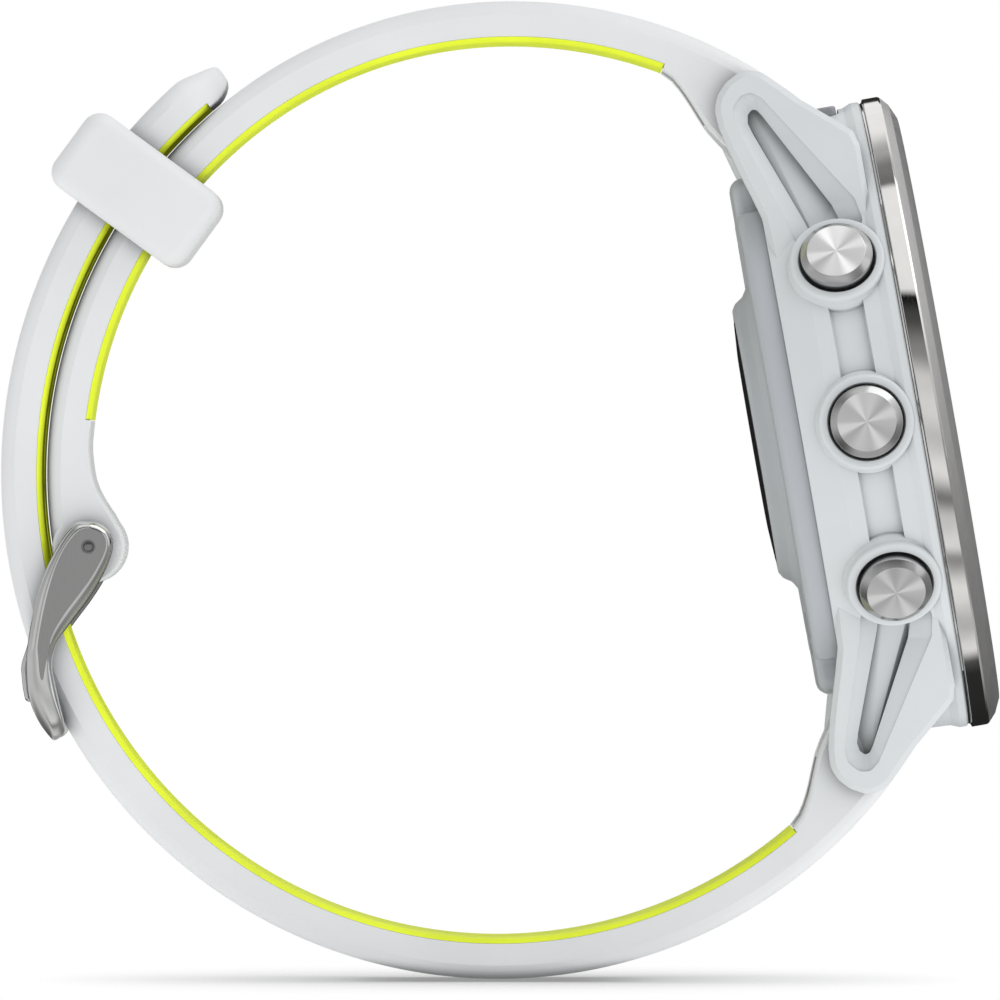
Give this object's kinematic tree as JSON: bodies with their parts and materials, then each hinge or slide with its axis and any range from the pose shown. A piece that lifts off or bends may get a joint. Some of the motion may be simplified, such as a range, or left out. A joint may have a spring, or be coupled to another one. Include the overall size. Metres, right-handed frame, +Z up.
{
  "type": "gps running watch",
  "caption": "Round wristwatch with side push buttons, a metal bezel and a two-part silicone strap buckled into its wearing loop.",
  "frame": {"origin": "on the floor plane touched by the strap loop's lowest point, under the middle of the loop, in the watch's middle plane", "axes": "+Z up, +X towards the display side of the loop, +Y towards the 3 o'clock side of the case"},
  "size_m": [0.0727, 0.0477, 0.071],
  "materials": {
    "stone_polymer": "fine matte moulded",
    "cover_polymer": "fine matte moulded",
    "titanium": "brushed chamfer over a polished band",
    "steel": "brushed with polished bevels",
    "crystal_glass": "polished",
    "sensor_glass": "polished dark lens",
    "seal_rubber": "matte",
    "stone_silicone": "soft satin silicone",
    "lime_silicone": "soft satin silicone",
    "board": "solder mask",
    "battery_foil": "foil",
    "black_plastic": "moulded",
    "contact_gold": "gold plated",
    "lens_polymer": "frosted lens"
  },
  "bodies": {
    "watch": {"back_cover": "cover_polymer", "back_gasket": "seal_rubber", "back_screw_1": "steel", "back_screw_2": "steel", "back_screw_3": "steel", "back_screw_4": "steel", "battery": "battery_foil", "bezel": "titanium", "bezel_gasket": "seal_rubber", "board_shield": "steel", "buckle_pin": "steel", "button_seal_lower_left": "seal_rubber", "button_seal_lower_right": "seal_rubber", "button_seal_middle_left": "seal_rubber", "button_seal_upper_left": "seal_rubber", "button_seal_upper_right": "seal_rubber", "button_switch_lower_left": "black_plastic", "button_switch_lower_right": "black_plastic", "button_switch_middle_left": "black_plastic", "button_switch_upper_left": "black_plastic", "button_switch_upper_right": "black_plastic", "case_body": "stone_polymer", "charge_contact_1": "contact_gold", "charge_contact_2": "contact_gold", "charge_contact_3": "contact_gold", "charge_contact_4": "contact_gold", "crystal": "crystal_glass", "crystal_gasket": "seal_rubber", "display_panel": "black_plastic", "flashlight_board": "board", "flashlight_lens": "lens_polymer", "gps_antenna": "contact_gold", "inner_frame": "black_plastic", "lug_bar_lower": "steel", "lug_bar_upper": "steel", "main_board": "board", "piezo_buzzer": "contact_gold", "sensor_board": "board", "sensor_window": "sensor_glass", "strap_buckle_half": "stone_silicone", "strap_buckle_liner": "lime_silicone", "strap_hole_half": "stone_silicone", "strap_hole_liner": "lime_silicone", "vibration_motor": "steel"},
    "buckle_frame": {"buckle_frame": "steel"},
    "buckle_tongue": {"buckle_tongue": "steel"},
    "button_lower_left": {"button_lower_left": "steel"},
    "button_lower_right": {"button_lower_right": "steel"},
    "button_middle_left": {"button_middle_left": "steel"},
    "button_upper_left": {"button_upper_left": "steel"},
    "button_upper_right": {"button_upper_right": "steel"},
    "release_latch_lower": {"release_latch_lower": "steel"},
    "release_latch_upper": {"release_latch_upper": "steel"},
    "strap_keeper": {"strap_keeper": "stone_silicone"}
  },
  "joints": [
    {"name": "press_upper_left", "type": "slide", "parent": "watch", "child": "button_upper_left", "axis": [0.0894, 0.8572, -0.5072], "range_m": [0, 0.0008]},
    {"name": "press_middle_left", "type": "slide", "parent": "watch", "child": "button_middle_left", "axis": [0, 1, 0], "range_m": [0, 0.0008]},
    {"name": "press_lower_left", "type": "slide", "parent": "watch", "child": "button_lower_left", "axis": [-0.0894, 0.8572, 0.5072], "range_m": [0, 0.0008]},
    {"name": "press_upper_right", "type": "slide", "parent": "watch", "child": "button_upper_right", "axis": [0.0894, -0.8572, -0.5072], "range_m": [0, 0.0008]},
    {"name": "press_lower_right", "type": "slide", "parent": "watch", "child": "button_lower_right", "axis": [-0.0894, -0.8572, 0.5072], "range_m": [0, 0.0008]},
    {"name": "release_upper", "type": "slide", "parent": "watch", "child": "release_latch_upper", "axis": [-0.5663, 0, 0.8242], "range_m": [0, 0.0011]},
    {"name": "release_lower", "type": "slide", "parent": "watch", "child": "release_latch_lower", "axis": [-0.2503, 0, -0.9682], "range_m": [0, 0.0011]},
    {"name": "buckle_swing", "type": "hinge", "parent": "watch", "child": "buckle_frame", "pos_m": [-0.02996, 0, 0.03142], "axis": [0, 1, 0], "range_deg": [0, 5]},
    {"name": "tongue_swing", "type": "hinge", "parent": "buckle_frame", "child": "buckle_tongue", "pos_m": [-0.02996, 0, 0.03142], "axis": [0, 1, 0], "range_deg": [0, 3]},
    {"name": "keeper_slide", "type": "hinge", "parent": "watch", "child": "strap_keeper", "pos_m": [0.0017, 0, 0.03672], "axis": [0, -1, 0], "range_deg": [-8, 16]}
  ]
}
